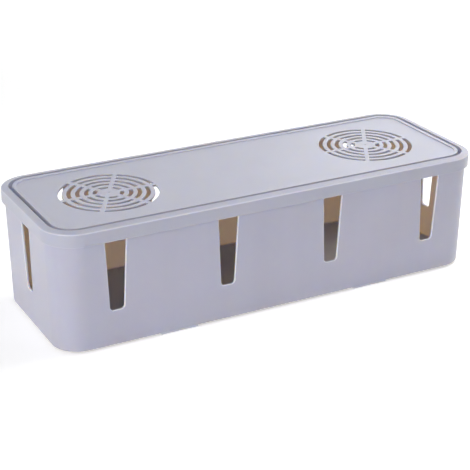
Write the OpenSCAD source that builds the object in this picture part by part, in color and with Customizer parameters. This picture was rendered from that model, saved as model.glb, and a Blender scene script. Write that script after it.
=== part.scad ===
// Cable management box: an open tub with tapered cable slots in all four walls,
// and a lift-off cap lid with a sloped rim, a sunk groove round its panel and two round vents.
// Millimetres, +Z up. The origin is on the table, under the middle of the box.
// X runs along the box, Y across it.

/* [Overall] */
// Length over the lid's skirt
lid_l = 380; // [320:5:460]
// Width over the lid's skirt
lid_w = 134; // [110:1:170]
// Height from the table to the rim's inner edge, which is its highest part
box_h = 101; // [80:1:130]
// Radius of the lid's outer corners, seen from above
corner_r = 26.5; // [24:0.5:40]

/* [Tub] */
// Thickness of the four walls
wall_t = 2; // [1.6:0.1:3]
// Thickness of the floor
floor_t = 2.2; // [1.6:0.1:4]
// How far each wall leans in from the mouth down to the floor
wall_lean = 2; // [0.5:0.25:4]
// Radius along the outside of the bottom edge
base_round = 1.5; // [0.5:0.25:3]

/* [Feet] */
// Length of one foot bar
foot_l = 32; // [20:1:50]
// Width of one foot bar
foot_w = 8; // [5:0.5:14]
// How far the feet stand below the tub's floor
foot_h = 2; // [1:0.25:4]
// Distance from the tub's end to the middle of a foot
foot_inset = 100; // [65:1:125]

/* [Cable slots] */
// Number of slots in each long wall
long_slots = 4; // [2:1:4]
// Distance from the tub's end to the middle of the nearest slot in a long wall
slot_end = 47.5; // [45:0.5:60]
// Slot width at the tub's mouth
slot_mouth_w = 17.8; // [12:0.1:24]
// Slot width at its sill
slot_sill_w = 11.4; // [7:0.1:12]
// Height of a slot's sill above the table
slot_sill_z = 31.5; // [15:0.5:50]
// Radius of the slot's two lower corners
slot_round = 2.8; // [1:0.1:3.5]

/* [Lid] */
// Height of the lid from the rim's inner edge down to the skirt's lower edge
skirt_h = 11.8; // [8:0.1:16]
// Thickness of the skirt
skirt_t = 2; // [1.4:0.1:3]
// How far the rim's inner edge lies above the mouth of the walls
rim_t = 3.2; // [2.6:0.1:4]
// How far the rim falls from its inner edge to its outer edge
rim_fall = 1.2; // [0:0.1:2.4]
// Radius along the rim's outer edge
rim_round = 1.5; // [0.4:0.1:2]
// Width of the groove inside the rim
groove_w = 3.2; // [2:0.1:5]
// Depth of the groove below the rim's inner edge
groove_d = 5.2; // [4.2:0.1:8]
// Thickness of the groove's walls and floor
groove_t = 1.2; // [1:0.1:2.2]
// Width of the raised border round the panel
border_w = 3; // [2:0.1:6]
// How far the border lies below the rim's inner edge
border_drop = 0.2; // [0:0.1:1]
// How far the panel lies below the rim's inner edge
panel_drop = 1.2; // [0.5:0.1:2]
// Thickness of the panel
panel_t = 1.8; // [1.4:0.1:2.2]

/* [Vents] */
// Distance from the lid's end to the middle of a vent
vent_inset = 72; // [60:1:85]
// Outer radius of a vent's largest ring of openings
vent_r = 39.5; // [38:0.5:42]
// Number of rings of openings in a vent
vent_rings = 5; // [3:1:5]
// Distance from one ring to the next
ring_pitch = 6.8; // [6:0.1:7]
// Width of the openings
ring_w = 3.4; // [2.4:0.1:4]
// Number of spokes in a vent
spokes = 6; // [4:2:8]
// Width of a spoke
spoke_w = 3.4; // [2.4:0.1:5]
// Diameter of the dimple in the middle of a vent
dimple_d = 2; // [1:0.1:4]
// Depth of that dimple
dimple_deep = 0.5; // [0.2:0.1:1]

/* [Fit] */
// Gap between the skirt and the walls at the tub's mouth
skirt_clear = 0.4; // [0.3:0.05:1]
// Gap between the groove's outer wall and the tub's walls at the mouth
plug_clear = 0.4; // [0.35:0.05:1]

/* [Hidden] */
$fn = 96;

// Segments in a small rounded edge
ROUND_STEPS = 6;
// How far a cutter runs past the faces that it cuts
CUT_PAST = 2;

// Tub: heights
base_z = foot_h;
mouth_z = box_h - rim_t;
// Tub: its outside at the mouth, inside the lid's skirt
mouth_inset = skirt_t + skirt_clear;
tub_l = lid_l - 2 * mouth_inset;
tub_w = lid_w - 2 * mouth_inset;
mouth_r = corner_r - mouth_inset;
// Angle of the walls from upright
lean_angle = atan2(wall_lean, mouth_z - base_z);
// Distance between neighbouring slots in a long wall
slot_pitch = (tub_l - 2 * slot_end) / (long_slots - 1);

// Lid: heights
groove_z = box_h - groove_d;
plug_z = groove_z - groove_t;
panel_z = box_h - panel_drop;
// Lid: radii of its steps at a corner, from the outside in
plug_r = mouth_r - wall_t - plug_clear;
groove_out_r = plug_r - groove_t;
groove_in_r = groove_out_r - groove_w;
border_r = groove_in_r - border_w;
// Angle of the rim from level
fall_angle = atan2(rim_fall, corner_r - groove_out_r);

// Points on an arc round [x, y], from angle a0 to a1
function arc(x, y, r, a0, a1) =
    [for (i = [0:ROUND_STEPS]) let (a = a0 + (a1 - a0) * i / ROUND_STEPS) [x + r * cos(a), y + r * sin(a)]];

// Wall radius at a corner, outside, at height z
function wall_r(z) = mouth_r - wall_lean * (mouth_z - z) / (mouth_z - base_z);

// Sweeps a profile round a rectangle l by w with corners of radius r. The profile's x is the
// distance outwards from a corner's axis and its y is the height.
module round_sweep(l, w, r) {
    run_x = l - 2 * r;
    run_y = w - 2 * r;
    for (turn = [0, 180]) {
        rotate(turn) {
            translate([-run_x / 2, run_y / 2, 0]) rotate([90, 0, 90]) linear_extrude(run_x) children();
            translate([run_x / 2, run_y / 2, 0]) rotate([90, 0, 0]) linear_extrude(run_y) children();
            translate([run_x / 2, run_y / 2, 0]) rotate_extrude(angle = 90) children();
            translate([-run_x / 2, run_y / 2, 0]) rotate(90) rotate_extrude(angle = 90) children();
        }
    }
}

// Fills the middle that a sweep leaves open, from z0 to z1
module middle_slab(l, w, r, z0, z1) {
    translate([r - l / 2, r - w / 2, z0]) cube([l - 2 * r, w - 2 * r, z1 - z0]);
}

// Section through a wall and the outer strip of the floor
module wall_profile() {
    turn_x = wall_r(base_z) - base_round * (1 - sin(lean_angle)) / cos(lean_angle);
    polygon(concat(
        [[0, base_z]],
        arc(turn_x, base_z + base_round, base_round, -90, -lean_angle),
        [
            [mouth_r, mouth_z],
            [mouth_r - wall_t, mouth_z],
            [wall_r(base_z + floor_t) - wall_t, base_z + floor_t],
            [0, base_z + floor_t]
        ]
    ));
}

// Cutter for one cable slot through a wall that faces -Y, wider towards the mouth
module slot_cutter() {
    half_mouth = slot_mouth_w / 2;
    half_sill = slot_sill_w / 2;
    flare = atan2(half_mouth - half_sill, mouth_z - slot_sill_z);
    turn_x = half_sill - slot_round * (1 - sin(flare)) / cos(flare);
    top_x = half_mouth + CUT_PAST * tan(flare);
    right = arc(turn_x, slot_sill_z + slot_round, slot_round, -90, -flare);
    left = arc(-turn_x, slot_sill_z + slot_round, slot_round, flare - 180, -90);
    rotate([90, 0, 0])
        linear_extrude(wall_lean + wall_t + 2 * CUT_PAST, center = true)
            polygon(concat(left, right, [[top_x, mouth_z + CUT_PAST], [-top_x, mouth_z + CUT_PAST]]));
}

// One slot cutter at each place along the four walls
module slot_cutters() {
    cut_inset = (wall_lean + wall_t) / 2;
    for (side = [-1, 1]) {
        for (i = [0:long_slots - 1]) {
            translate([(i - (long_slots - 1) / 2) * slot_pitch, side * (tub_w / 2 - cut_inset), 0]) slot_cutter();
        }
        translate([side * (tub_l / 2 - cut_inset), 0, 0]) rotate(90) slot_cutter();
    }
}

// Four low bars moulded under the floor, just inside the long edges
module feet() {
    foot_y = tub_w / 2 - wall_lean - base_round - foot_w / 2;
    for (x = [-1, 1], y = [-1, 1]) {
        translate([x * (tub_l / 2 - foot_inset), y * foot_y, (base_z + floor_t) / 2])
            cube([foot_l, foot_w, base_z + floor_t], center = true);
    }
}

// Open tub: floor, four leaning walls with cable slots, and feet
module tub() {
    color("#aeaebd") {
        difference() {
            union() {
                round_sweep(tub_l, tub_w, mouth_r) wall_profile();
                middle_slab(tub_l, tub_w, mouth_r, base_z, base_z + floor_t);
            }
            slot_cutters();
        }
        feet();
    }
}

// Section through the lid's skirt, rim, groove, border and the outer strip of its panel
module lid_profile() {
    edge_z = box_h - rim_fall - rim_round * (1 - sin(fall_angle)) / cos(fall_angle);
    polygon(concat(
        [[corner_r, box_h - skirt_h]],
        arc(corner_r - rim_round, edge_z, rim_round, 0, 90 - fall_angle),
        [
            [groove_out_r, box_h],
            [groove_out_r, groove_z],
            [groove_in_r, groove_z],
            [groove_in_r, box_h - border_drop],
            [border_r, box_h - border_drop],
            [border_r, panel_z],
            [0, panel_z],
            [0, panel_z - panel_t],
            [groove_in_r - groove_t, panel_z - panel_t],
            [groove_in_r - groove_t, plug_z],
            [plug_r, plug_z],
            [plug_r, mouth_z],
            [corner_r - skirt_t, mouth_z],
            [corner_r - skirt_t, box_h - skirt_h]
        ]
    ));
}

// Cutter for one vent: rings of openings with spokes left between them, and a dimple in the middle
module vent_cutter() {
    cut_z = panel_z - panel_t - CUT_PAST;
    cut_h = panel_t + 2 * CUT_PAST;
    difference() {
        for (i = [0:vent_rings - 1]) {
            difference() {
                translate([0, 0, cut_z]) cylinder(h = cut_h, r = vent_r - i * ring_pitch);
                translate([0, 0, cut_z - 1]) cylinder(h = cut_h + 2, r = vent_r - i * ring_pitch - ring_w);
            }
        }
        for (i = [0:spokes / 2 - 1]) {
            rotate(i * 360 / spokes)
                translate([-vent_r - 1, -spoke_w / 2, cut_z - 1])
                    cube([2 * vent_r + 2, spoke_w, cut_h + 2]);
        }
    }
    translate([0, 0, panel_z - dimple_deep]) cylinder(h = dimple_deep + CUT_PAST, d = dimple_d);
}

// Cap lid: skirt, rim, groove and vented panel in one moulding
module lid() {
    color("#c6c5d0")
        difference() {
            union() {
                round_sweep(lid_l, lid_w, corner_r) lid_profile();
                middle_slab(lid_l, lid_w, corner_r, panel_z - panel_t, panel_z);
            }
            for (side = [-1, 1]) {
                translate([side * (lid_l / 2 - vent_inset), 0, 0]) vent_cutter();
            }
        }
}

tub();
lid();
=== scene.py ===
"""A long plastic cable box: a tub with tapered cable slots and a grooved cap lid with two round vents."""

import math

import bmesh
import bpy
from mathutils import Matrix, Vector


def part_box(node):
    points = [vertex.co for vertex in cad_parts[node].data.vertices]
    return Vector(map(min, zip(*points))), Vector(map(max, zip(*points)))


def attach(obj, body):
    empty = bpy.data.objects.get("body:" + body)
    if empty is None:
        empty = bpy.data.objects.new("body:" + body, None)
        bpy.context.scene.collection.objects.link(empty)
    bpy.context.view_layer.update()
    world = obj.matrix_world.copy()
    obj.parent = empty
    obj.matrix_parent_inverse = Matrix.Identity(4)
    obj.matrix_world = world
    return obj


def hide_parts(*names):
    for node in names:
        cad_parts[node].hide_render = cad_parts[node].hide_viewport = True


bl_info = {
    "name": "Cable Box",
    "version": (1, 0, 0),
    "blender": (4, 5, 0),
    "location": "View3D > Sidebar > Cable Box",
    "description": "Builds a long moulded cable box with a vented cap lid",
    "category": "Add Mesh",
}

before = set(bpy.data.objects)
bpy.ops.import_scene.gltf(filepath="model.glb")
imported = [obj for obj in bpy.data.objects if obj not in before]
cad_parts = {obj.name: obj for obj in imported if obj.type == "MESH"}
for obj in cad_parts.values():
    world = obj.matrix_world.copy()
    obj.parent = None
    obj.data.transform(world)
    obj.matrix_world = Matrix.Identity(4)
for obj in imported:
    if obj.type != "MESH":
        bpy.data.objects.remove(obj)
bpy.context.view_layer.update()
TUB_LOW, TUB_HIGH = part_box("tub")
LID_LOW, LID_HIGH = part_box("lid")

Z = Vector((0.0, 0.0, 1.0))
# Points nearer than this are one point, in metres
MERGE = 1e-6
# Faces that meet at more than SHARP make a sharp edge, and faces that meet at less than FLAT become one
SHARP = math.radians(40.0)
FLAT = math.radians(0.5)
# A face is level where its normal's height is over LEVEL. On the rim's rounding it is within RIM_TILT.
LEVEL = 0.9
RIM_TILT = (0.35, 0.8)

# Steps in a quarter turn round the box's corners, and along an opening between two spokes
CORNER_STEPS = 20
VENT_STEPS = 10
# Steps in the rounding of small edges, of the vents' openings and of the tub's bottom edge
EDGE_STEPS = 3
OPENING_STEPS = 2
BOTTOM_STEPS = 4
# Steps in the rounding of the lid's rim and of the slots' lower corners
WIDE_STEPS = 6
# How much wider a vent's hub is than the place where its spokes meet
HUB_SPARE = 1.15
# The steps down into a dimple: the share of its depth, and the share of the width that is left
DIMPLE_STEPS = ((0.6, 0.9), (0.4, 0.6))

# Material slots of painted light on the edges and feet, and of the floor, painted warm for the brown light
# inside
PAINTED_LIGHT_SLOT = 1
BASE = 2
# How far light goes in the plastic, in metres: far in the thin walls, so that the box glows brown inside
WALL_DEPTH = 0.004
LID_DEPTH = 0.0008
EDGE_DEPTH = 0.0006
BASE_DEPTH = 0.0005
# How many times as far as that red, green and blue light go
DEPTH_RATIOS = (2.5, 1.85, 1.0)
# How much lighter or darker the plastic's colour gets from place to place
TINT = 0.08
# The plastic's roughness at the smoothest and at the roughest spots of its grain
SATIN = (0.26, 0.42)
# How much the grain shows as relief, and how high it stands, in metres
GRAIN_STRENGTH = 0.25
GRAIN_HEIGHT = 0.00003

# Half the width of the floor, in metres
FLOOR_REACH = 6.0
# The floor's own light near the box and far from it, and how far from its middle these are, in metres
GLOW = (0.4, 1.0)
GLOW_REACH = (0.45, 1.5)
# The backdrop's strength, and where it fades in towards the back and out towards the top. These and the next
# are parts of a direction of length 1.
BACKDROP = 1.45
BACKDROP_BACK = (0.2, 0.4)
BACKDROP_TOP = (0.4, 0.5)
# How much of the white that the eye meets is left overhead, and between which heights it fades to that
OVERHEAD = 0.3
OVERHEAD_FADE = (0.4, 0.6)
# Lamps: name, place, width in metres, power in watts. Each faces the point LAMP_AIM.
LAMPS = (
    ("Front left lamp", (-0.9, -1.2, 0.6), 0.8, 9.0),
    ("Key lamp", (-1.2, -0.6, 1.5), 1.2, 8.7),
    ("Right lamp", (1.4, 0.0, 0.6), 0.8, 5.0),
    ("Back right lamp", (1.0, 0.9, 0.7), 0.8, 1.6),
    ("Overhead lamp", (0.4, 0.0, 0.8), 0.5, 4.0),
    ("Left lamp", (-1.2, -0.65, 0.35), 0.6, 3.4),
    ("Low left lamp", (-1.0, -0.3, 0.15), 0.25, 0.35),
    ("Front right lamp", (0.8, -0.8, 1.0), 0.3, 1.3),
)
LAMP_AIM = Vector((0.0, 0.0, 0.05))
# The camera: place in metres, turn in degrees, lens and sensor in millimetres, shift in picture widths
CAMERA_PLACE = (-0.48696, -0.90565, 0.48564)
CAMERA_TURN = (67.083, -0.165, -28.197)
CAMERA_LENS = 103.42
CAMERA_SENSOR = 36.0
CAMERA_SHIFT = (-0.0164, -0.0262)
# Nothing nearer to the camera than this shows, in metres
CAMERA_NEAR = 0.05


def length(name, description, default):
    """A length property, in metres."""
    return bpy.props.FloatProperty(
        name=name, description=description, default=default, min=0.0, precision=5, subtype="DISTANCE",
        unit="LENGTH",
    )


def count(name, description, default, least, most):
    """A whole-number property."""
    return bpy.props.IntProperty(name=name, description=description, default=default, min=least, max=most)


def shade(name, description, default):
    """A colour property that holds sRGB values, written as hex."""
    rgb = tuple(int(default[i : i + 2], 16) / 255 for i in (1, 3, 5))
    return bpy.props.FloatVectorProperty(
        name=name, description=description, default=rgb, size=3, min=0.0, max=1.0, subtype="COLOR_GAMMA"
    )


class TubSizes(bpy.types.PropertyGroup):
    """Sizes of the tub."""

    mouth_length: length("Mouth length", "Length over the walls at the mouth", TUB_HIGH.x - TUB_LOW.x)
    mouth_width: length("Mouth width", "Width over the walls at the mouth", TUB_HIGH.y - TUB_LOW.y)
    mouth_height: length("Mouth height", "Height of the mouth above the table", TUB_HIGH.z)
    mouth_radius: length("Mouth radius", "Radius of the corners at the mouth", 0.0241)
    lean: length("Lean", "How far each wall leans in from the mouth down to the floor", 0.002)
    wall: length("Wall", "Thickness of the walls", 0.002)
    floor: length("Floor", "Thickness of the floor", 0.0022)
    base_round: length("Base round", "Radius along the outside of the bottom edge", 0.0015)
    inner_round: length("Inner round", "Radius along the inside of the bottom edge", 0.0015)
    edge_round: length("Edge round", "Radius of the mouth's and the slots' edges", 0.0006)
    foot_length: length("Foot length", "Length of one foot bar", 0.032)
    foot_width: length("Foot width", "Width of one foot bar", 0.008)
    foot_height: length("Foot height", "How far the feet stand below the floor", 0.002)
    foot_inset: length("Foot inset", "Distance from the tub's end to the middle of a foot", 0.1)
    slot_mouth: length("Slot mouth", "Slot width at the mouth", 0.0178)
    slot_sill: length("Slot sill", "Slot width at its sill", 0.0114)
    slot_height: length("Slot height", "Height of the sill above the table", 0.0315)
    slot_round: length("Slot round", "Radius of the slot's lower corners", 0.0028)
    slot_end: length("Slot end", "Distance from the tub's end to the middle of the nearest slot", 0.0475)
    slots: count("Slots", "Slots in each long wall", 4, 2, 4)


class LidSizes(bpy.types.PropertyGroup):
    """Sizes of the lid."""

    outer_length: length("Length", "Length over the skirt", LID_HIGH.x - LID_LOW.x)
    outer_width: length("Width", "Width over the skirt", LID_HIGH.y - LID_LOW.y)
    top: length("Top", "Height of the rim's inner edge above the table", LID_HIGH.z)
    skirt_low: length("Skirt edge", "Height of the skirt's lower edge above the table", LID_LOW.z)
    seat: length("Seat", "Height of the underside that rests on the walls", TUB_HIGH.z)
    corner_radius: length("Corner radius", "Radius of the skirt's corners", 0.0265)
    skirt: length("Skirt", "Thickness of the skirt", 0.002)
    rim_fall: length("Rim fall", "How far the rim falls towards its outer edge", 0.0012)
    rim_round: length("Rim round", "Radius along the rim's outer edge", 0.0015)
    rim_width: length("Rim width", "From the skirt's outside to the groove", 0.006)
    groove_width: length("Groove width", "Width of the groove inside the rim", 0.0032)
    groove_depth: length("Groove depth", "Depth of the groove below the rim", 0.0052)
    groove_wall: length("Groove wall", "Thickness of the groove's walls and floor", 0.0012)
    border_width: length("Border width", "Width of the border round the panel", 0.003)
    border_drop: length("Border drop", "How far the border lies below the rim", 0.0002)
    panel_drop: length("Panel drop", "How far the panel lies below the rim", 0.0012)
    panel: length("Panel", "Thickness of the panel", 0.0018)
    edge_round: length("Edge round", "Radius of the small edges", 0.00035)
    vent_inset: length("Vent inset", "Distance from the lid's end to the middle of a vent", 0.072)
    vent_radius: length("Vent radius", "Outer radius of a vent's largest ring", 0.0395)
    ring_pitch: length("Ring pitch", "Distance from one ring to the next", 0.0068)
    ring_width: length("Ring width", "Width of the openings", 0.0034)
    spoke_width: length("Spoke width", "Width of a spoke", 0.0034)
    dimple: length("Dimple", "Diameter of the dimple in the middle of a vent", 0.002)
    dimple_depth: length("Dimple depth", "Depth of that dimple", 0.0005)
    rings: count("Rings", "Rings of openings in a vent", 5, 1, 5)
    spokes: count("Spokes", "Spokes in a vent", 6, 4, 8)


class BoxColours(bpy.types.PropertyGroup):
    """Colours of the box and of the stage."""

    tub: shade("Tub", "Colour of the tub's plastic", "#bab8c9")
    lid: shade("Lid", "Colour of the lid's plastic", "#b6b7c6")
    # Painted light: warmer and lighter than the walls, in place of the brown light inside the box
    base: shade("Base", "Colour of the tub's floor", "#cbc1c0")
    # Painted highlight: a lighter colour for the lid's rounded rim and the skirt's lower edge
    rim: shade("Rim edge", "Colour of the lid's outer edges", "#c8c9d6")
    # Painted light: a lighter colour in place of the highlight on the slots' edges and the light on the feet
    painted_light: shade("Slot edges", "Colour of the slots' edges and of the feet", "#d8d8e2")
    stage: shade("Stage", "Colour of the floor", "#f2f2f2")


def linear(colour):
    """An sRGB colour, from 0 to 1, as linear RGBA."""
    return [c / 12.92 if c <= 0.04045 else ((c + 0.055) / 1.055) ** 2.4 for c in colour] + [1.0]


def draw_section(bm, start, points):
    """Draws a wire through points, given as (outwards, up, radius, steps) from a corner's axis, in the plane
    of start that faces along X. A point with a radius becomes an arc."""
    spots = [Vector((start.x, start.y - out, up)) for out, up, _, _ in points]
    verts = [bm.verts.new(spot) for spot in spots]
    for pair in zip(verts, verts[1:]):
        bm.edges.new(pair)
    for i, (_, _, radius, steps) in enumerate(points):
        if not radius:
            continue
        bend = (spots[i] - spots[i - 1]).angle(spots[i + 1] - spots[i])
        bmesh.ops.bevel(
            bm, geom=[verts[i]], offset=radius * math.tan(bend / 2), offset_type="OFFSET", affect="VERTICES",
            segments=steps, profile=0.5, material=-1, clamp_overlap=True,
        )
    return list(bm.edges)


def carry(bm, edges, step):
    """Extrudes the section by one straight step and returns its new edges."""
    out = bmesh.ops.extrude_edge_only(bm, edges=edges)["geom"]
    bmesh.ops.translate(bm, vec=step, verts=[g for g in out if isinstance(g, bmesh.types.BMVert)])
    return [g for g in out if isinstance(g, bmesh.types.BMEdge)]


def turn(bm, edges, centre):
    """Spins the section a quarter turn round a corner's axis and returns its new edges."""
    verts = list({v for e in edges for v in e.verts})
    out = bmesh.ops.spin(
        bm, geom=verts + edges, cent=centre, axis=Z, angle=math.radians(90), steps=CORNER_STEPS,
        use_merge=False,
    )["geom_last"]
    return [g for g in out if isinstance(g, bmesh.types.BMEdge)]


def sweep_round(bm, edges, run_x, run_y, stops_x=(), stops_y=()):
    """Carries a section round a rounded rectangle, from the near end of the front side. The section also
    stops at stops_x and stops_y along the straight runs, and leaves an edge there."""
    corners = [(1, -1), (1, 1), (-1, 1), (-1, -1)]
    ways = [Vector((1, 0, 0)), Vector((0, 1, 0)), Vector((-1, 0, 0)), Vector((0, -1, 0))]
    runs = [(run_x, stops_x), (run_y, stops_y)] * 2
    for corner, way, (run, stops) in zip(corners, ways, runs):
        at = -run / 2
        for stop in sorted(stops) + [run / 2]:
            edges = carry(bm, edges, way * (stop - at))
            at = stop
        edges = turn(bm, edges, (corner[0] * run_x / 2, corner[1] * run_y / 2, 0))
    bmesh.ops.remove_doubles(bm, verts=bm.verts, dist=MERGE)


def open_edges(bm, height):
    """The boundary edges that lie at a height."""
    return [e for e in bm.edges if e.is_boundary and all(abs(v.co.z - height) < MERGE for v in e.verts)]


def sharp_edges(bm):
    """The edges whose two faces meet at more than SHARP."""
    bm.normal_update()
    return [e for e in bm.edges if len(e.link_faces) == 2 and e.calc_face_angle(0) > SHARP]


def round_off(bm, edges, radius, steps):
    """Rounds edges off and returns the new faces."""
    return bmesh.ops.bevel(
        bm, geom=edges, offset=radius, offset_type="OFFSET", affect="EDGES", segments=steps, profile=0.5,
        material=-1, clamp_overlap=True,
    )["faces"]


def assign_material(faces, index):
    """Gives faces a material slot."""
    for face in faces:
        face.material_index = index


def finish_piece(bm, name, materials, body, node):
    """Turns a bmesh into a piece that stands for a CAD node."""
    if any(not e.is_manifold for e in bm.edges):
        raise RuntimeError(f"{name} is not a closed shell")
    bmesh.ops.recalc_face_normals(bm, faces=bm.faces)
    for face in bm.faces:
        face.smooth = True
    mesh = bpy.data.meshes.new(name)
    bm.to_mesh(mesh)
    bm.free()
    for material in materials:
        mesh.materials.append(material)
    piece = bpy.data.objects.new(name, mesh)
    bpy.context.scene.collection.objects.link(piece)
    even = piece.modifiers.new("Even shading", "WEIGHTED_NORMAL")
    even.mode = "FACE_AREA"
    even.weight = 50
    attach(piece, body)
    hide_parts(node)


def empty_tree(holder):
    """Gives a material or a world an empty node tree and returns it."""
    holder.use_nodes = True
    holder.node_tree.nodes.clear()
    return holder.node_tree


def add_node(tree, kind, values=(), links=(), **settings):
    """Adds one shader node with its settings, socket values and links."""
    node = tree.nodes.new(kind)
    for key, value in settings.items():
        setattr(node, key, value)
    for socket, value in dict(values).items():
        node.inputs[socket].default_value = value
    for socket, output in dict(links).items():
        tree.links.new(output, node.inputs[socket])
    return node


def calculate(tree, operation, first, second):
    """The result of a Math node whose terms are each an output or a plain number."""
    terms = {0: first, 1: second}
    values = {i: term for i, term in terms.items() if isinstance(term, float)}
    links = {i: term for i, term in terms.items() if i not in values}
    return add_node(tree, "ShaderNodeMath", values, links, operation=operation).outputs[0]


def ramp(tree, value, span, result, interpolation="LINEAR"):
    """Maps a value from between the two numbers of span to between the two of result."""
    ends = {"From Min": span[0], "From Max": span[1], "To Min": result[0], "To Max": result[1]}
    mapped = add_node(tree, "ShaderNodeMapRange", ends, {"Value": value}, interpolation_type=interpolation)
    return mapped.outputs[0]


def noise(tree, place, scale, detail, roughness):
    """Noise from 0 to 1, at a scale in cells for each metre."""
    settings = {"Scale": scale, "Detail": detail, "Roughness": roughness}
    return add_node(tree, "ShaderNodeTexNoise", settings, {"Vector": place}).outputs["Fac"]


def seen_rays(tree):
    """A factor that is 1 for the rays of the camera, of gloss and of transmission, and 0 for the others."""
    path = add_node(tree, "ShaderNodeLightPath").outputs
    seen = calculate(tree, "MAXIMUM", path["Is Camera Ray"], path["Is Glossy Ray"])
    return calculate(tree, "MAXIMUM", seen, path["Is Transmission Ray"])


def moulded_polypropylene(name, colour, depth):
    """Injection-moulded polypropylene: satin, and translucent down to about the given depth."""
    material = bpy.data.materials.new(name)
    tree = empty_tree(material)
    place = add_node(tree, "ShaderNodeTexCoord").outputs["Object"]
    # Clouds of about 50 mm where the pigment is a shade lighter or darker.
    clouds = noise(tree, place, 20.0, 2.0, 0.5)
    # Upright bands about 30 mm wide, a shade lighter or darker: painted shading in place of the faint streaks
    # from the walls' waviness.
    upright = add_node(tree, "ShaderNodeMapping", {"Scale": (1.0, 1.0, 0.08)}, {"Vector": place})
    shade_bands = noise(tree, upright.outputs[0], 34.0, 3.0, 0.6)
    # Clouds of real tone and bands of painted shading, mixed.
    tone_and_shade = calculate(tree, "MULTIPLY", calculate(tree, "ADD", clouds, shade_bands), 0.5)
    pigment = linear(colour)[:3]
    dark = [c * (1 - TINT) for c in pigment] + [1.0]
    light = [min(c * (1 + TINT), 1.0) for c in pigment] + [1.0]
    tint = add_node(tree, "ShaderNodeMix", {"A": dark, "B": light}, {"Factor": tone_and_shade}, data_type="RGBA")
    # The mould's spark-worn grain, about 0.5 mm, breaks the gloss up and roughens the surface a little.
    grain = noise(tree, place, 2000.0, 2.0, 0.6)
    satin = ramp(tree, grain, (0.0, 1.0), SATIN)
    relief = add_node(
        tree, "ShaderNodeBump", {"Strength": GRAIN_STRENGTH, "Distance": GRAIN_HEIGHT}, {"Height": grain}
    )
    shader = add_node(
        tree,
        "ShaderNodeBsdfPrincipled",
        {"IOR": 1.49, "Subsurface Weight": 1.0, "Subsurface Scale": depth, "Subsurface Radius": DEPTH_RATIOS},
        {"Base Color": tint.outputs[2], "Roughness": satin, "Normal": relief.outputs[0]},
    )
    add_node(tree, "ShaderNodeOutputMaterial", links={"Surface": shader.outputs["BSDF"]})
    return material


def slot_middles(size):
    """Where the slots in a long wall have their middles."""
    reach = size.mouth_length / 2 - size.slot_end
    return [-reach + 2 * reach * i / (size.slots - 1) for i in range(size.slots)]


def cut_slot(bm, size, axis, middle, side, far):
    """Cuts one slot through the wall that lies beyond far on one side, with its middle at middle along axis.
    Its faces go, its mouth is spread, and its cut faces bridge the inner and the outer wall. It returns the
    edges along its two lower corners."""
    half = size.slot_sill / 2
    sill = size.slot_height
    top = size.mouth_height - MERGE
    near = lambda co: abs(co[axis] - middle) < half + MERGE and co[1 - axis] * side > far
    gone = [f for f in bm.faces if near(f.calc_center_median()) and f.calc_center_median().z > sill]
    rim = {e for f in gone for e in f.edges if not all(g in gone for g in e.link_faces)}
    bmesh.ops.delete(bm, geom=gone, context="FACES")
    rim = [e for e in rim if e.is_valid]
    for way in (-1, 1):
        lip = {v for e in rim for v in e.verts if v.co.z > top and (v.co[axis] - middle) * way > 0}
        step = Vector((0, 0, 0))
        step[axis] = way * (size.slot_mouth - size.slot_sill) / 2
        bmesh.ops.translate(bm, vec=step, verts=list(lip))
    chains = [e for e in rim if not all(v.co.z > top for v in e.verts)]
    new = bmesh.ops.bridge_loops(bm, edges=chains)
    # The cut faces get the painted highlight.
    assign_material(new["faces"], PAINTED_LIGHT_SLOT)
    return [e for e in new["edges"] if all(abs(v.co.z - sill) < MERGE for v in e.verts)]


def tub_shell(size):
    """The tub's walls and floor as one closed shell, with its slots cut."""
    bm = bmesh.new()
    base = size.foot_height
    floor = base + size.floor
    sill = size.slot_height
    top = size.mouth_height
    run_x = size.mouth_length - 2 * size.mouth_radius
    run_y = size.mouth_width - 2 * size.mouth_radius
    # The swept strip of the floor ends a third of the way out from a corner's axis.
    inside = size.mouth_radius / 3
    outside = lambda up: size.mouth_radius - size.lean * (top - up) / (top - base)
    section = draw_section(bm, Vector((-run_x / 2, -run_y / 2)), [
        (inside, floor, 0, 0),
        (outside(floor) - size.wall, floor, size.inner_round, BOTTOM_STEPS),
        (outside(sill) - size.wall, sill, 0, 0),
        (outside(top) - size.wall, top, 0, 0),
        (outside(top), top, 0, 0),
        (outside(sill), sill, 0, 0),
        (outside(base), base, size.base_round, BOTTOM_STEPS),
        (inside, base, 0, 0),
    ])
    middles = slot_middles(size)
    half = size.slot_sill / 2
    stops_x = [middle + way * half for middle in middles for way in (-1, 1)]
    sweep_round(bm, section, run_x, run_y, stops_x, [-half, half])
    for level in (floor, base):
        bmesh.ops.contextual_create(bm, geom=open_edges(bm, level))

    corners = []
    for axis, middle, far in [(0, m, run_y / 2) for m in middles] + [(1, 0.0, run_x / 2)]:
        for side in (-1, 1):
            corners += cut_slot(bm, size, axis, middle, side, far)
    bmesh.ops.recalc_face_normals(bm, faces=bm.faces)
    bmesh.ops.dissolve_limit(
        bm, angle_limit=FLAT, use_dissolve_boundaries=False, verts=bm.verts, edges=bm.edges
    )
    round_off(bm, [e for e in corners if e.is_valid], size.slot_round, WIDE_STEPS)
    # The rounded edges get the painted highlight too.
    assign_material(round_off(bm, sharp_edges(bm), size.edge_round, EDGE_STEPS), PAINTED_LIGHT_SLOT)
    low = [f for f in bm.faces if f.calc_center_median().z < floor + MERGE]
    # The floor's level faces get the warm painted light.
    assign_material([f for f in low if abs(f.normal.z) > LEVEL], BASE)
    return bm


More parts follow.
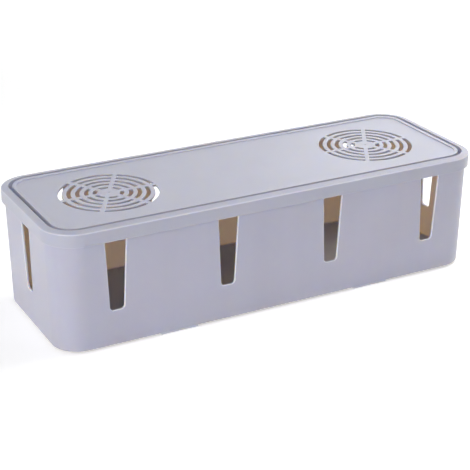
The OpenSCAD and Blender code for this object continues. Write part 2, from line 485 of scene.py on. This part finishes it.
def add_feet(bm, size):
    """Adds the four foot bars, which reach a little way up into the floor."""
    deep = size.foot_height + size.floor / 2
    across = size.mouth_width / 2 - size.lean - size.base_round - size.foot_width / 2
    along = size.mouth_length / 2 - size.foot_inset
    for x in (-along, along):
        for y in (-across, across):
            bar = bmesh.ops.create_cube(bm, size=1.0)["verts"]
            bmesh.ops.scale(bm, vec=(size.foot_length, size.foot_width, deep), verts=bar)
            bmesh.ops.translate(bm, vec=(x, y, deep / 2), verts=bar)
            # The feet get the painted light as well, a lighter colour in place of the light the floor throws
            # up on them.
            assign_material({f for v in bar for f in v.link_faces}, PAINTED_LIGHT_SLOT)
            edges = {e for v in bar for e in v.link_edges}
            low = [e for e in edges if min(v.co.z for v in e.verts) < MERGE]
            assign_material(round_off(bm, low, size.edge_round, EDGE_STEPS), PAINTED_LIGHT_SLOT)


class CABLEBOX_OT_tub(bpy.types.Operator):
    """Build the tub with its cable slots and feet"""

    bl_idname = "cablebox.tub"
    bl_label = "Tub"
    bl_options = {"REGISTER", "UNDO"}

    def execute(self, context):
        size = context.scene.cable_box_tub
        colours = context.scene.cable_box_colours
        walls = moulded_polypropylene("Polypropylene tub walls", colours.tub, WALL_DEPTH)
        # The floor's warmer, lighter colour is painted light, in place of the brown light inside the box.
        base = moulded_polypropylene("Polypropylene tub base", colours.base, BASE_DEPTH)
        # Painted highlight: the cut edges and the feet get a lighter colour in place of the light that they
        # catch.
        painted_light = moulded_polypropylene("Polypropylene slot edges", colours.painted_light, EDGE_DEPTH)
        bm = tub_shell(size)
        add_feet(bm, size)
        finish_piece(bm, "tub_moulding", [walls, painted_light, base], "tub", "tub")
        return {"FINISHED"}


def vent_patch(bm, size, middle, level):
    """Draws a flat round patch with the vent's openings. It returns the small face in its middle."""
    columns = VENT_STEPS + 2
    radii = [size.vent_radius + size.ring_width / 2]
    for i in range(size.rings):
        outer = size.vent_radius - i * size.ring_pitch
        radii += [outer, outer - size.ring_width]
    sector = 2 * math.pi / size.spokes
    hub = HUB_SPARE * size.spoke_width / 2 / math.sin(sector / 2)
    rows = len(radii)
    radii.append(hub)

    # One sector: a grid whose first and last columns are half a spoke each, at smaller angles further out.
    grid = bmesh.ops.create_grid(bm, x_segments=columns, y_segments=rows, size=0.5)["verts"]
    spots = {v: (round((v.co.x + 0.5) * columns), round((v.co.y + 0.5) * rows)) for v in grid}
    for vert, (column, row) in spots.items():
        radius = radii[row]
        edge = math.asin(size.spoke_width / 2 / radius)
        angle = edge + (sector - 2 * edge) * (column - 1) / (columns - 2)
        angle = {0: 0.0, columns: sector}.get(column, angle)
        vert.co = Vector((middle + radius * math.cos(angle), radius * math.sin(angle), level))

    # Each second row is open between the spokes. Copies of the sector then close the circle.
    faces = {f for v in grid for f in v.link_faces}
    open_row = lambda face: min(spots[v][1] for v in face.verts) % 2 == 1
    clear = lambda face: {spots[v][0] for v in face.verts}.isdisjoint({0, columns})
    bmesh.ops.delete(bm, geom=[f for f in faces if open_row(f) and clear(f)], context="FACES")
    faces = [f for f in faces if f.is_valid]
    geom = faces + list({e for f in faces for e in f.edges}) + list({v for f in faces for v in f.verts})
    bmesh.ops.spin(
        bm, geom=geom, axis=Z, cent=(middle, 0, 0), angle=sector * (size.spokes - 1), steps=size.spokes - 1,
        use_duplicate=True,
    )
    away = lambda v: (v.co.xy - Vector((middle, 0))).length
    bmesh.ops.remove_doubles(bm, verts=[v for v in bm.verts if away(v) < radii[0] + MERGE], dist=MERGE)

    # The hub is closed with a face, and a smaller one in its middle will hold the dimple.
    ring = [e for e in bm.edges if e.is_boundary and all(abs(away(v) - hub) < MERGE for v in e.verts)]
    cap = bmesh.ops.contextual_create(bm, geom=ring)["faces"]
    cap = bmesh.ops.extrude_discrete_faces(bm, faces=cap)["faces"][0]
    small = size.dimple / 2 / hub
    bmesh.ops.scale(bm, vec=(small, small, 1), space=Matrix.Translation((-middle, 0, 0)), verts=cap.verts)
    return cap


def sink_dimple(bm, size, face):
    """Sinks a vent's small middle face in steps, and makes it narrower at each."""
    for sink, narrow in DIMPLE_STEPS:
        face = bmesh.ops.extrude_discrete_faces(bm, faces=[face])["faces"][0]
        middle = Matrix.Translation(-face.calc_center_median())
        bmesh.ops.scale(bm, vec=(narrow, narrow, 1), space=middle, verts=face.verts)
        bmesh.ops.translate(bm, vec=-size.dimple_depth * sink * Z, verts=face.verts)


def lid_section(size):
    """The lid's section, from the panel's top out round the skirt to the panel's underside."""
    panel = size.top - size.panel_drop
    under = panel - size.panel
    out = size.corner_radius
    skirt_in = out - size.skirt
    groove_out = out - size.rim_width
    groove_in = groove_out - size.groove_width
    groove = size.top - size.groove_depth
    border_in = groove_in - size.border_width
    border = size.top - size.border_drop
    plug_out = groove_out + size.groove_wall
    plug_in = groove_in - size.groove_wall
    plug = groove - size.groove_wall
    # The swept strip of the panel ends a little way inside the border.
    end = border_in - size.border_width / 3
    fine = (size.edge_round, EDGE_STEPS)
    return [
        (end, panel, 0, 0),
        (border_in, panel, *fine),
        (border_in, border, *fine),
        (groove_in, border, *fine),
        (groove_in, groove, *fine),
        (groove_out, groove, *fine),
        (groove_out, size.top, *fine),
        (out, size.top - size.rim_fall, size.rim_round, WIDE_STEPS),
        (out, size.skirt_low, *fine),
        (skirt_in, size.skirt_low, *fine),
        (skirt_in, size.seat, *fine),
        (plug_out, size.seat, *fine),
        (plug_out, plug, *fine),
        (plug_in, plug, *fine),
        (plug_in, under, *fine),
        (end, under, 0, 0),
    ]


def lighten_lid_edges(bm, size, run_x, run_y):
    """Gives the rim's rounding and the skirt's lower edge the lighter material, a painted highlight like the
    one on the slots' edges.
    """
    bmesh.ops.recalc_face_normals(bm, faces=bm.faces)
    for face in bm.faces:
        middle = face.calc_center_median()
        beyond = Vector((max(abs(middle.x) - run_x / 2, 0), max(abs(middle.y) - run_y / 2, 0))).length
        on_rim = middle.z > size.seat and RIM_TILT[0] < abs(face.normal.z) < RIM_TILT[1]
        on_skirt = middle.z < size.skirt_low + size.edge_round
        if beyond > size.corner_radius - size.rim_round and (on_rim or on_skirt):
            face.material_index = PAINTED_LIGHT_SLOT


def lid_shell(size):
    """The lid as one closed shell: skirt, rim, groove, border and vented panel."""
    bm = bmesh.new()
    panel = size.top - size.panel_drop
    run_x = size.outer_length - 2 * size.corner_radius
    run_y = size.outer_width - 2 * size.corner_radius
    section = draw_section(bm, Vector((-run_x / 2, -run_y / 2)), lid_section(size))
    sweep_round(bm, section, run_x, run_y)
    lighten_lid_edges(bm, size, run_x, run_y)
    swept = set(bm.faces)
    outline = open_edges(bm, panel)

    # The panel is filled between its outline and the two vents, then copied down to give its thickness.
    reach = size.outer_length / 2 - size.vent_inset
    wide = size.vent_radius + size.ring_width / 2
    away = lambda co: (Vector((abs(co.x), co.y)) - Vector((reach, 0))).length
    hubs = [vent_patch(bm, size, middle, panel) for middle in (-reach, reach)]
    rounds = [e for e in bm.edges if e.is_boundary and all(abs(away(v.co) - wide) < MERGE for v in e.verts)]
    bmesh.ops.triangle_fill(bm, edges=outline + rounds, use_beauty=True, normal=Z)
    upper = set(bm.faces) - swept
    new = bmesh.ops.extrude_face_region(bm, geom=list(upper), use_keep_orig=True)["geom"]
    bmesh.ops.translate(bm, vec=-size.panel * Z, verts=[g for g in new if isinstance(g, bmesh.types.BMVert)])
    lower = {g for g in new if isinstance(g, bmesh.types.BMFace)}
    # The copy also left upright faces under the outline, where the swept section has its own.
    upright = set(bm.faces) - swept - upper - lower
    spare = [f for f in upright if away(f.calc_center_median()) > wide]
    bmesh.ops.delete(bm, geom=spare, context="FACES")
    bmesh.ops.remove_doubles(bm, verts=bm.verts, dist=MERGE)
    bmesh.ops.recalc_face_normals(bm, faces=bm.faces)

    # The openings' upright corners and then their rims are rounded, and the hubs get their dimples.
    posts = [e for e in sharp_edges(bm) if abs(e.verts[0].co.z - e.verts[1].co.z) > size.panel - MERGE]
    round_off(bm, posts, size.edge_round, OPENING_STEPS)
    round_off(bm, sharp_edges(bm), size.edge_round, OPENING_STEPS)
    for hub in hubs:
        sink_dimple(bm, size, hub)
    return bm


class CABLEBOX_OT_lid(bpy.types.Operator):
    """Build the lid with its groove and vents"""

    bl_idname = "cablebox.lid"
    bl_label = "Lid"
    bl_options = {"REGISTER", "UNDO"}

    def execute(self, context):
        colours = context.scene.cable_box_colours
        shell = moulded_polypropylene("Polypropylene lid", colours.lid, LID_DEPTH)
        # The lighter edge material is a painted highlight.
        painted_light = moulded_polypropylene("Polypropylene lid edges", colours.rim, EDGE_DEPTH)
        bm = lid_shell(context.scene.cable_box_lid)
        finish_piece(bm, "lid_moulding", [shell, painted_light], "lid", "lid")
        return {"FINISHED"}


def floor_paint(colour):
    """Pale paint. What the eye, gloss and glass see of it also gets a little light of its own, so that it
    reads white, and more of it far from the box, where no lamp reaches the floor."""
    material = bpy.data.materials.new("Painted studio floor")
    tree = empty_tree(material)
    paint = add_node(tree, "ShaderNodeBsdfDiffuse", {"Color": linear(colour)})
    place = add_node(tree, "ShaderNodeTexCoord").outputs["Object"]
    away = add_node(tree, "ShaderNodeVectorMath", links={0: place}, operation="LENGTH").outputs["Value"]
    far = ramp(tree, away, GLOW_REACH, GLOW, "SMOOTHSTEP")
    lift = calculate(tree, "MULTIPLY", seen_rays(tree), far)
    glow = add_node(tree, "ShaderNodeEmission", links={"Strength": lift})
    both = add_node(tree, "ShaderNodeAddShader", links={0: paint.outputs[0], 1: glow.outputs[0]})
    add_node(tree, "ShaderNodeOutputMaterial", links={"Surface": both.outputs[0]})
    return material


def studio_world():
    """A world whose backdrop behind the box lights it. The eye, gloss and glass see white all round, and
    less of it overhead."""
    world = bpy.data.worlds.new("Studio")
    tree = empty_tree(world)
    way = add_node(tree, "ShaderNodeTexCoord").outputs["Generated"]
    along = add_node(tree, "ShaderNodeSeparateXYZ", links={"Vector": way}).outputs
    low = ramp(tree, along["Z"], BACKDROP_TOP, (1.0, 0.0))
    behind = ramp(tree, along["Y"], BACKDROP_BACK, (0.0, BACKDROP))
    lit = calculate(tree, "MULTIPLY", low, behind)
    bright = ramp(tree, along["Z"], OVERHEAD_FADE, (1.0, OVERHEAD))
    white = {"Color": (1.0, 1.0, 1.0, 1.0)}
    backdrop = add_node(tree, "ShaderNodeBackground", white, {"Strength": lit}).outputs[0]
    room = add_node(tree, "ShaderNodeBackground", white, {"Strength": bright}).outputs[0]
    pick = add_node(tree, "ShaderNodeMixShader", links={0: seen_rays(tree), 1: backdrop, 2: room})
    add_node(tree, "ShaderNodeOutputWorld", links={"Surface": pick.outputs[0]})
    return world


class CABLEBOX_OT_stage(bpy.types.Operator):
    """Set up the floor, the lamps and the camera"""

    bl_idname = "cablebox.stage"
    bl_label = "Stage"
    bl_options = {"REGISTER", "UNDO"}

    def execute(self, context):
        scene = context.scene
        bm = bmesh.new()
        bmesh.ops.create_grid(bm, x_segments=1, y_segments=1, size=FLOOR_REACH)
        mesh = bpy.data.meshes.new("studio_floor")
        bm.to_mesh(mesh)
        bm.free()
        mesh.materials.append(floor_paint(scene.cable_box_colours.stage))
        floor = bpy.data.objects.new("studio_floor", mesh)
        scene.collection.objects.link(floor)
        scene.world = studio_world()

        for name, place, width, power in LAMPS:
            lamp = bpy.data.lights.new(name, "AREA")
            lamp.energy = power
            lamp.size = width
            holder = bpy.data.objects.new(name, lamp)
            scene.collection.objects.link(holder)
            holder.location = place
            holder.rotation_euler = (LAMP_AIM - Vector(place)).to_track_quat("-Z", "Y").to_euler()

        view = bpy.data.cameras.new("Camera")
        view.lens = CAMERA_LENS
        view.sensor_width = CAMERA_SENSOR
        view.shift_x, view.shift_y = CAMERA_SHIFT
        view.clip_start = CAMERA_NEAR
        camera = bpy.data.objects.new("Camera", view)
        scene.collection.objects.link(camera)
        camera.location = CAMERA_PLACE
        camera.rotation_euler = tuple(math.radians(a) for a in CAMERA_TURN)
        scene.camera = camera
        scene.view_settings.view_transform = "Standard"
        return {"FINISHED"}


class CABLEBOX_PT_panel(bpy.types.Panel):
    """Lists the box's parts, sizes and colours"""

    bl_idname = "CABLEBOX_PT_panel"
    bl_label = "Cable Box"
    bl_space_type = "VIEW_3D"
    bl_region_type = "UI"
    bl_category = "Cable Box"

    def draw(self, context):
        layout = self.layout
        for operator in (CABLEBOX_OT_tub, CABLEBOX_OT_lid, CABLEBOX_OT_stage):
            layout.operator(operator.bl_idname)
        for title, group in (
            ("Tub", context.scene.cable_box_tub),
            ("Lid", context.scene.cable_box_lid),
            ("Colours", context.scene.cable_box_colours),
        ):
            box = layout.box()
            box.label(text=title)
            for key in group.__annotations__:
                box.prop(group, key)


CLASSES = (
    TubSizes, LidSizes, BoxColours, CABLEBOX_OT_tub, CABLEBOX_OT_lid, CABLEBOX_OT_stage, CABLEBOX_PT_panel,
)


def register():
    """Registers the classes and hangs the sizes and colours on the scene."""
    for cls in CLASSES:
        bpy.utils.register_class(cls)
    bpy.types.Scene.cable_box_tub = bpy.props.PointerProperty(type=TubSizes)
    bpy.types.Scene.cable_box_lid = bpy.props.PointerProperty(type=LidSizes)
    bpy.types.Scene.cable_box_colours = bpy.props.PointerProperty(type=BoxColours)


def unregister():
    """Takes back what register did."""
    del bpy.types.Scene.cable_box_colours
    del bpy.types.Scene.cable_box_lid
    del bpy.types.Scene.cable_box_tub
    for cls in reversed(CLASSES):
        bpy.utils.unregister_class(cls)


def main():
    """Builds the box and its stage."""
    register()
    bpy.ops.cablebox.tub()
    bpy.ops.cablebox.lid()
    bpy.ops.cablebox.stage()
    bpy.context.view_layer.update()


if __name__ == "__main__":
    main()
